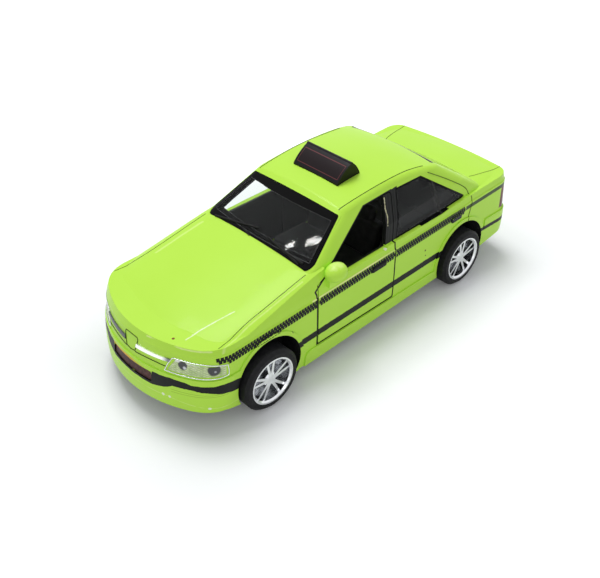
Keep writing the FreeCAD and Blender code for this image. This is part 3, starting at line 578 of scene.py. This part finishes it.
ink = moulding("print_ink", (0.003, 0.003, 0.003), (0.008, 0.009, 0.008), 0.40, 900.0)
wash = moulding("groove_wash", (0.030, 0.055, 0.010), (0.075, 0.125, 0.020), 0.60, 900.0)
base_black = moulding("base_black", (0.005, 0.005, 0.005), (0.012, 0.012, 0.012), 0.50, 900.0)
dress(base_black, "chassis")
dress(moulding("tyre_rubber", (0.006, 0.006, 0.007), (0.018, 0.018, 0.019), 0.58, 1100.0),
      *[f"tyre_{end}_{side}" for end in ENDS for side, _ in SIDES])
dress(moulding("cabin_black", (0.008, 0.008, 0.008), (0.022, 0.022, 0.021), 0.55, 600.0),
      "interior_tray", "steering_wheel")
dress(moulding("screw_steel", (0.30, 0.30, 0.30), (0.50, 0.50, 0.50), 0.35, 800.0, metal=1.0),
      "screw_front", "screw_rear", "axle_front", "axle_rear")
dress(moulding("grille_maroon", (0.030, 0.010, 0.009), (0.140, 0.060, 0.055), 0.40, 1300.0), "lower_grille")

# %% [markdown]
# ## Lamps
#
# The headlamps are one clear moulding over a printed reflector: two round chrome bowls that look
# almost black in the middle, each with a small painted highlight, and a pale green ground crossed by
# fine moulded ribs. Painting the reflector on the lens and giving it a glossy coat shows it crisply,
# where a real lens of this thickness would blur it. The tail lamps are a dark red with flutes.

# %% Lamp lenses
GROUND_DARK, GROUND_LIGHT, RIB = (0.38, 0.58, 0.13), (0.80, 0.92, 0.50), (0.30, 0.33, 0.26)
LAMP_HEAD, BOWL, BOWL_GLINT = (0.93, 0.95, 0.90), (0.012, 0.014, 0.018), (0.80, 0.83, 0.88)
BOWLS = (((15.2, -57.4, 19.15), 1.15), ((21.05, -52.9, 18.75), 1.55))
GLINT_SHIFT, LAMP_HEAD_LOW = Vector((0.5, 0.0, -0.5)), 19.75
RED, RED_FLUTE, RED_CLOUD = (0.13, 0.008, 0.006), (0.05, 0.004, 0.003), (0.09, 0.014, 0.009)
RIB_SPACING, FLUTE_SPACING = 0.62, 0.7


def clear_lens(name):
    lens = Finish(name)
    mirrored, waver = lens.spot(lens.out, lens.y, lens.z), lens.noise(900.0, 0.5)
    ribs = [(lens.z + lens.out * lean).repeated(RIB_SPACING).within(0.0, 0.16, 0.1) for lean in (0.6, -0.6)]
    crossed = ribs[0].either(ribs[1])
    ground = lens.blend((lens.noise(900.0, 2.0) + 0.5).clamp(), GROUND_DARK, GROUND_LIGHT)
    layers = [(crossed * 0.55, RIB), (lens.z.above(LAMP_HEAD_LOW, 0.3) * 0.9, LAMP_HEAD)]
    for centre, radius in BOWLS:
        bowl = (lens.near(centre, mirrored) + waver).below(radius, 0.35)
        # Painted highlight: a small pale spot beside each bowl's middle.
        painted_glint = lens.near(Vector(centre) + GLINT_SHIFT, mirrored).below(0.40, 0.3) * 0.9
        layers += [(bowl, BOWL), (painted_glint, BOWL_GLINT)]
    lens.put(colour=lens.coats(ground, *layers), roughness=0.25, coat=0.35, coat_roughness=0.03)
    return lens.bump(crossed, 0.00006, 0.3)


def red_lens(name):
    lens = Finish(name)
    flutes = lens.z.repeated(FLUTE_SPACING).above(0.35, 0.2)
    cloud = (lens.noise(500.0, 1.6) + 0.5).clamp()
    colour = lens.coats(RED, (flutes * 0.6, RED_FLUTE), (cloud * 0.4, RED_CLOUD))
    lens.put(colour=colour, roughness=0.22, gloss=0.12, coat=0.08)
    return lens.bump(flutes, 0.0001, 0.4)


dress(clear_lens("clear_lens"), "headlamp_left", "headlamp_right")
dress(red_lens("red_lens"), "tail_lamp_left", "tail_lamp_right")

# %% [markdown]
# ## Roof sign
#
# The sign is a gloss black moulding with a thin red-mauve frame line printed on its front face, round
# a plain panel that is a touch warmer than the rest.

# %% Roof sign
SIGN_BLACK, SIGN_PANEL, SIGN_LINE = (0.006, 0.005, 0.006), (0.016, 0.006, 0.008), (0.15, 0.040, 0.045)
LINE_LOW, LINE_HIGH, LINE_WIDTH, LINE_ENDS, SIGN_FACE = 41.70, 44.50, 0.13, (7.28, 7.42), 4.6
PANEL_LEVELS, PANEL_OUT = (41.95, 44.25), 7.1


def sign_black(name):
    sign = Finish(name)
    out, z, front = sign.out, sign.z, sign.y.below(SIGN_FACE)
    rows = z.within(LINE_LOW, LINE_LOW + LINE_WIDTH).either(z.within(LINE_HIGH - LINE_WIDTH, LINE_HIGH))
    ends = out.within(*LINE_ENDS) * z.within(LINE_LOW, LINE_HIGH)
    frame_line = (rows * out.below(LINE_ENDS[1])).either(ends) * front
    panel = z.within(*PANEL_LEVELS) * out.below(PANEL_OUT) * front * 0.5
    colour = sign.coats(SIGN_BLACK, (panel, SIGN_PANEL), (frame_line, SIGN_LINE))
    sign.put(colour=colour, roughness=0.30, gloss=0.15, coat=0.05)
    return sign.bump(sign.noise(300.0, 1.0, 2.0), 0.0002, 0.1)


dress(sign_black("sign_black"), "roof_sign")

# %% [markdown]
# ## A jig for shapes that follow a surface
#
# The chequered line, the joint lines, the lamp rims and the wiper blades all lie on the body. Each
# starts as a flat drawing and is then thrown onto the surface along one direction, which is easier
# than drawing the real curve in space. Geometry Nodes suit this well, and a jig, as in a workshop, is
# made once and used for many pieces: its sizes are named inputs, and the throw and the ending are
# shared.

# %% The jig
class Jig(Wiring):
    """A Geometry Nodes tree with named sizes."""

    def __init__(self, name, **sizes):
        super().__init__(bpy.data.node_groups.new(name, "GeometryNodeTree"))
        face = self.tree.interface
        for way in ("INPUT", "OUTPUT"):
            face.new_socket("Geometry", in_out=way, socket_type="NodeSocketGeometry")
        for word, value in sizes.items():
            kind = "NodeSocketVector" if isinstance(value, tuple) else "NodeSocketFloat"
            face.new_socket(word.replace("_", " "), in_out="INPUT", socket_type=kind).default_value = value
        face.new_socket("Surface", in_out="INPUT", socket_type="NodeSocketObject")
        self.given = self.step("NodeGroupInput")

    def size(self, word):
        return Sum(self.tree, self.given[word])

    def lay(self, geometry, direction, reach):
        """Throw every point onto the surface, lift it a little, and drop what misses."""
        surface = self.step("GeometryNodeObjectInfo", {"Object": self.given["Surface"]})["Geometry"]
        ray = self.step("GeometryNodeRaycast", {"Target Geometry": surface, "Ray Direction": direction,
                                                "Ray Length": reach})
        feeds = {0: ray["Hit Normal"], 1: self.given["Lift"], 2: ray["Hit Position"]}
        lifted = self.step("ShaderNodeVectorMath", feeds, operation="MULTIPLY_ADD")[0]
        held = self.tree.nodes.new("GeometryNodeCaptureAttribute")
        held.capture_items.new("BOOLEAN", "hit")
        held.capture_items.new("VECTOR", "where")
        for source, slot in zip((geometry, ray["Is Hit"], lifted), held.inputs):
            self.tree.links.new(source, slot)
        laid = self.step("GeometryNodeSetPosition", {"Geometry": held.outputs[0], "Position": held.outputs[2]})[0]
        missed = self.step("FunctionNodeBooleanMath", {0: held.outputs[1]}, operation="NOT")[0]
        return self.step("GeometryNodeDeleteGeometry", {"Geometry": laid, "Selection": missed})[0]

    def close(self, geometry, finish):
        """End the tree: no instances left, and one material."""
        whole = self.step("GeometryNodeRealizeInstances", {0: geometry})[0]
        painted = self.step("GeometryNodeSetMaterial", {"Geometry": whole, "Material": finish.material})[0]
        self.step("NodeGroupOutput", {0: painted})
        return self.tree


def grown_mesh(name, tree, values, path=()):
    """Run a node tree on a path, or on nothing, and keep what it makes as a plain mesh."""
    rough = bpy.data.meshes.new("holder")
    rough.from_pydata(path, [(i, i + 1) for i in range(len(path) - 1)], [])
    holder = bpy.data.objects.new("holder", rough)
    bpy.context.scene.collection.objects.link(holder)
    modifier = holder.modifiers.new("make", "NODES")
    modifier.node_group = tree
    for item in tree.interface.items_tree:
        if item.item_type == "SOCKET" and item.in_out == "INPUT" and item.name in values:
            modifier[item.identifier] = values[item.name]
    depsgraph = bpy.context.evaluated_depsgraph_get()
    mesh = bpy.data.meshes.new_from_object(holder.evaluated_get(depsgraph))
    bpy.data.objects.remove(holder)
    mesh.name = name
    print(name, len(mesh.polygons), "faces")
    return mesh


def piece_from(name, body, mesh):
    """A piece: a mesh that rides on a body, with the material its mesh already carries."""
    thing = bpy.data.objects.new(name, mesh)
    bpy.context.scene.collection.objects.link(thing)
    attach(thing, body)
    return thing


# %% [markdown]
# ## The chequered line
#
# Along each flank, just under the waist crease, runs a chequered taxi line: three rows of small
# black cells that start behind the headlamp and end at the rear door. On the toy it is printed, so it
# must hug the surface and stop at the door gaps. A flat grid of cells stands beside the car, every
# other cell is taken away, the rest are spread a little as ink is, and the jig throws them sideways
# onto the wing, the door or the rear door.

# %% A node tree that prints a chequer on a flank
ROWS, OUTSIDE, FLANK_REACH = 3, 0.04, 0.025
print("chequer of", ROWS, "rows")


def chequer_tree(finish):
    jig = Jig("flank_chequer", Start=-0.0455, End=0.0385, Level=0.02238, Rise=0.0335, Cell_Length=0.00046,
              Cell_Height=0.00068, Lift=0.00006, Side=1.0, Spread=1.56)
    long, tall = jig.size("Cell Length"), jig.size("Cell Height")
    columns = ((jig.size("End") - jig.size("Start")) / long).node("FLOOR")
    grid = jig.step("GeometryNodeMeshGrid", {"Size X": columns * long, "Size Y": tall * ROWS,
                                             "Vertices X": columns + 1.0, "Vertices Y": ROWS + 1})["Mesh"]
    where = jig.step("ShaderNodeSeparateXYZ", {0: jig.step("GeometryNodeInputPosition")[0]})
    across, up = Sum(jig.tree, where[0]), Sum(jig.tree, where[1])
    along = across + columns * long * 0.5
    column, row = (along / long).node("FLOOR"), ((up + tall * (ROWS / 2)) / tall).node("FLOOR")
    odd = (column + row).repeated(2.0).node("GREATER_THAN", 0.5)
    chosen = jig.step("GeometryNodeDeleteGeometry", {"Geometry": grid, "Selection": odd}, domain="FACE")[0]
    cells = jig.step("GeometryNodeSplitEdges", {"Mesh": chosen})[0]
    spread = jig.step("GeometryNodeScaleElements", {"Geometry": cells, "Scale": jig.size("Spread")})[0]

    y_place = along + jig.size("Start")
    z_place = up + jig.size("Level") + y_place * jig.size("Rise")
    beside = jig.step("ShaderNodeCombineXYZ", {0: jig.size("Side") * OUTSIDE, 1: y_place, 2: z_place})[0]
    stood = jig.step("GeometryNodeSetPosition", {"Geometry": spread, "Position": beside})[0]
    inward = jig.step("ShaderNodeCombineXYZ", {0: -jig.size("Side")})[0]
    return jig.close(jig.lay(stood, inward, FLANK_REACH), finish)


# %% Print the chequer on wings, doors and rear doors
chequer = chequer_tree(ink)
for word, side in SIDES:
    for place, body, node, start, end in (("wing", "body", "body_shell", -0.0521, -0.0195),
                                          ("door", f"door_{word}", f"door_{word}", -0.0225, 0.0085),
                                          ("rear", "body", "body_shell", 0.0078, 0.0386)):
        mesh = grown_mesh(f"chequer_{place}_{word}", chequer,
                          {"Surface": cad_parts[node], "Side": float(side), "Start": start, "End": end})
        piece_from(mesh.name, body, mesh)

# %% [markdown]
# ## Lines that lie on a surface
#
# The panel joints that don't open are fine grooves in the casting, and dark wash has run into them.
# The jig takes a rough path, sets points along it, throws them onto the surface and sweeps a small
# round section along them. Bonnet, boot and gutter lines are drawn from above, the rear doors from
# the side, and on the nose the line under the grille bars and the outline of a plaque from the front.

# %% A node tree that lays a line on a surface
LINE_REACH, SECTION_SIDES, FAR = 0.08, 8, 75.0
print("lines have a section of", SECTION_SIDES, "sides")


def line_tree(name, finish, smooth):
    jig = Jig(name, Spacing=0.0004, Radius=0.00012, Lift=0.00002, Direction=(0.0, 0.0, -1.0))
    path = jig.step("GeometryNodeMeshToCurve", {"Mesh": jig.given["Geometry"]})[0]
    if smooth:
        path = jig.step("GeometryNodeCurveSplineType", {"Curve": path}, spline_type="CATMULL_ROM")[0]
    dots = jig.step("GeometryNodeResampleCurve", {"Curve": path, "Length": jig.given["Spacing"]}, mode="LENGTH")[0]
    laid = jig.lay(dots, jig.given["Direction"], LINE_REACH)
    section = jig.step("GeometryNodeCurvePrimitiveCircle", {"Radius": jig.given["Radius"],
                                                            "Resolution": SECTION_SIDES})["Curve"]
    swept = jig.step("GeometryNodeCurveToMesh", {"Curve": laid, "Profile Curve": section, "Fill Caps": True})[0]
    return jig.close(swept, finish)


def laid_line(name, tree, path, direction, surface, **sizes):
    return grown_mesh(name, tree, {"Surface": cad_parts[surface], "Direction": direction, **sizes},
                      [Vector(place) * MM for place in path])


def both_sides(name, tree, path, direction, surface, **sizes):
    return [laid_line(f"{name}_{word}", tree, [(x * side, y, z) for x, y, z in path],
                      (direction[0] * side, direction[1], direction[2]), surface, **sizes) for word, side in SIDES]


def joined(name, meshes):
    """Several meshes as one, in one piece of material."""
    work = bmesh.new()
    for mesh in meshes:
        work.from_mesh(mesh)
    whole = bpy.data.meshes.new(name)
    work.to_mesh(whole)
    work.free()
    whole.materials.append(meshes[0].materials[0])
    print(name, len(whole.polygons), "faces")
    return whole


# %% Wash in the grooves
BONNET = [(19.19, -22.0), (19.42, -35.0), (19.60, -41.5), (20.15, -46.5), (20.70, -51.0)]
BOOT = [(16.03, 47.5), (16.83, 50.0), (18.09, 56.25), (18.66, 61.9)]
GUTTER = [(14.66, -6.25), (14.93, 7.5), (14.89, 18.75), (15.39, 25.5)]
REAR_DOOR = [(25.75, 38.3), (32.75, 34.2), (39.0, 29.9), (40.75, 27.3), (41.25, 25.25), (40.25, 20.7), (39.75, 18.2)]
NOSE_GROOVE = [(1.72, 17.3), (6.87, 17.7), (11.22, 17.6)]
PLAQUE = [(1.6, 17.5), (2.5, 20.8), (2.2, 21.4), (0.0, 21.5), (-2.2, 21.4), (-2.5, 20.8), (-1.6, 17.5), (0.0, 17.2),
          (1.6, 17.5)]
groove_tree, plaque_tree = line_tree("groove_wash", wash, True), line_tree("plaque_wash", wash, False)
washes = []
for name, line, radius in (("bonnet_line", BONNET, 0.00007), ("boot_line", BOOT, 0.00007), ("gutter", GUTTER, 0.0001)):
    washes += both_sides(name, groove_tree, [(x, y, FAR) for x, y in line], (0, 0, -1), "body_shell", Radius=radius)
washes += both_sides("rear_door_line", groove_tree, [(FAR, y, z) for y, z in REAR_DOOR], (-1, 0, 0), "body_shell",
                     Radius=0.00011)
washes += both_sides("nose_line", groove_tree, [(x, -FAR, z) for x, z in NOSE_GROOVE], (0, 1, 0), "body_shell")
washes.append(laid_line("plaque_line", plaque_tree, [(x, -FAR, z) for x, z in PLAQUE], (0, 1, 0), "body_shell"))
piece_from("groove_wash", "body", joined("groove_wash", washes))

# %% [markdown]
# The lamp rims are the silver edge of each clear moulding, thrown on slantwise because the lamps wrap
# round the corners. The two wipers are thin black blades with an arm, moulded in relief along the
# foot of the screen.

# %% Lamp rims and wipers
RIM = [(11.3, -59.9, 16.55), (12.2, -59.5, 18.6), (13.3, -58.8, 20.55), (16.5, -56.9, 20.45), (19.8, -54.4, 20.25),
       (21.6, -52.3, 19.9), (22.4, -50.0, 19.5), (22.5, -49.8, 18.0), (22.5, -49.9, 16.5), (21.8, -52.2, 16.25),
       (19.8, -54.5, 16.3), (16.5, -57.0, 16.4), (13.5, -59.0, 16.5), (11.3, -59.9, 16.55)]
SLANT, STAND_OFF = 0.7071, Vector((10.0, -10.0, 0.0))
BLADES = (([(-16.0, -21.2), (-8.0, -20.2), (-1.0, -18.9)], 0.30), ([(3.0, -19.6), (10.0, -20.4), (16.5, -20.3)], 0.30),
          ([(-2.0, -21.4), (-6.0, -20.6)], 0.22), ([(15.5, -21.0), (12.0, -20.6)], 0.22))
rim_tree, blade_tree = line_tree("lamp_rim", bright, False), line_tree("wiper", base_black, False)
rims = both_sides("lamp_rim", rim_tree, [tuple(Vector(place) + STAND_OFF) for place in RIM], (-SLANT, SLANT, 0),
                  "body_shell", Radius=0.00013, Lift=0.0001)
piece_from("lamp_rims", "body", joined("lamp_rims", rims))
wipers = [laid_line(f"wiper_{number}", blade_tree, [(x, y, FAR) for x, y in path], (0, 0, -1), "window_moulding",
                    Radius=radius * MM, Lift=0.0001) for number, (path, radius) in enumerate(BLADES)]
piece_from("wipers", "body", joined("wipers", wipers))

# %% [markdown]
# ## Table top, light and camera
#
# The toy stands on a plain white sheet under one broad lamp, high on the far side of the car, so that
# the roof and bonnet are bright, the near flank is in soft shade and the shadow falls towards the
# camera's right. The sheet shows itself a little brighter to the camera than it is to the toy, and
# more so away from the car. That gives the white background and the dark contact shadow of the
# photograph with no more light on the paint.

# %% White sheet
REACH, HALF_WIDTH, HALF_LENGTH = 4.0, 21.0, 58.0
SHADOW_REACH, FAR_START, FAR_REACH = 45.0, 150.0, 500.0


def shown(tree):
    """1 for the rays that should see the white background: camera, mirror and glass rays."""
    path = tree.nodes.new("ShaderNodeLightPath")
    seen = Sum(tree, path.outputs["Is Camera Ray"])
    for word in ("Is Glossy Ray", "Is Transmission Ray"):
        seen = seen.either(Sum(tree, path.outputs[word]))
    return seen


def white_paper(name):
    paper = Finish(name)
    beside = paper.spot((paper.out - HALF_WIDTH).node("MAXIMUM", 0.0),
                        (paper.y.magnitude() - HALF_LENGTH).node("MAXIMUM", 0.0))
    away = paper.near((0.0, 0.0), beside)
    near = (away * (1.0 / SHADOW_REACH)).clamp()
    far = ((away - FAR_START) * (1.0 / FAR_REACH)).clamp()
    return paper.put(colour=(0.86, 0.875, 0.89, 1.0), roughness=0.8, gloss=0.1, glow_colour=(1.0, 1.0, 1.0, 1.0),
                     glow=shown(paper.tree) * (near * 0.32 + far * 0.32 + 0.05))


mesh = bpy.data.meshes.new("white_sheet")
mesh.from_pydata([(-REACH, -REACH, 0), (REACH, -REACH, 0), (REACH, REACH, 0), (-REACH, REACH, 0)], [], [(0, 1, 2, 3)])
mesh.materials.append(white_paper("white_paper").material)
sheet = bpy.data.objects.new("white_sheet", mesh)
bpy.context.scene.collection.objects.link(sheet)
print("sheet", 2 * REACH, "m wide")

# %% [markdown]
# One broad lamp makes the light and a weak one fills the near side. Three tiny ones are there for
# their mirror images in the windscreen: each is placed where the glass throws it towards the camera,
# and is far too weak to light the paint.

# %% World and lamps
world = bpy.data.worlds.new("soft_room")
bpy.context.scene.world = world
world.use_nodes = True
background = world.node_tree.nodes["Background"]
background.inputs["Color"].default_value = (0.97, 0.98, 1.0, 1.0)
world.node_tree.links.new((shown(world.node_tree) * 0.56 + 0.44).socket, background.inputs["Strength"])
CAR_MIDDLE, SCREEN_MIDDLE = (0.0, 0.0, 0.02), (0.012, -0.016, 0.033)
GLINTS = ((-0.282, -0.156, 0.478), (-0.253, -0.150, 0.496), (-0.241, -0.149, 0.502))


def soft_lamp(name, place, aim, size, watts):
    lamp = bpy.data.lights.new(name, "AREA")
    lamp.shape = "RECTANGLE"
    lamp.size, lamp.size_y = size
    lamp.energy = watts
    thing = bpy.data.objects.new(name, lamp)
    thing.location = place
    thing.rotation_euler = (Vector(aim) - Vector(place)).to_track_quat("-Z", "Y").to_euler()
    bpy.context.scene.collection.objects.link(thing)


soft_lamp("key_lamp", (-0.26, 0.06, 0.76), CAR_MIDDLE, (0.36, 0.36), 3.6)
soft_lamp("fill_lamp", (0.55, -0.45, 0.45), CAR_MIDDLE, (0.50, 0.50), 0.7)
for place in GLINTS:
    soft_lamp("glint_lamp", place, SCREEN_MIDDLE, (0.008, 0.012), 0.02)

# %% [markdown]
# The camera stands where the photographer's did. Its place, angles and lens were found by matching
# the wheels, the roof and the lamps of the model with the photograph.

# %% The photograph's camera
CAMERA_PLACE = Vector((138.14, -140.25, 151.69)) * MM
AZIMUTH, ELEVATION, ROLL = math.radians(45.67), math.radians(37.10), math.radians(0.5)
FOCAL_PIXELS, PIXELS_WIDE, PIXELS_HIGH = 855.71, 600, 578
CENTRE_PIXEL = (299.5, 289.4)

back = Vector((math.sin(AZIMUTH) * math.cos(ELEVATION), -math.cos(AZIMUTH) * math.cos(ELEVATION), math.sin(ELEVATION)))
lens = bpy.data.cameras.new("photo_camera")
lens.sensor_width = 36.0
lens.lens = lens.sensor_width * FOCAL_PIXELS / PIXELS_WIDE
lens.shift_x = (PIXELS_WIDE / 2 - CENTRE_PIXEL[0]) / PIXELS_WIDE
lens.shift_y = (CENTRE_PIXEL[1] - PIXELS_HIGH / 2) / PIXELS_WIDE
lens.clip_start = 0.01
camera = bpy.data.objects.new("photo_camera", lens)
turn = back.to_track_quat("Z", "Y").to_matrix().to_4x4()
camera.matrix_world = Matrix.Translation(CAMERA_PLACE) @ turn @ Matrix.Rotation(ROLL, 4, "Z")
bpy.context.scene.collection.objects.link(camera)
bpy.context.scene.camera = camera
bpy.context.scene.view_settings.view_transform = "Standard"
print("camera lens", round(lens.lens, 2), "mm")
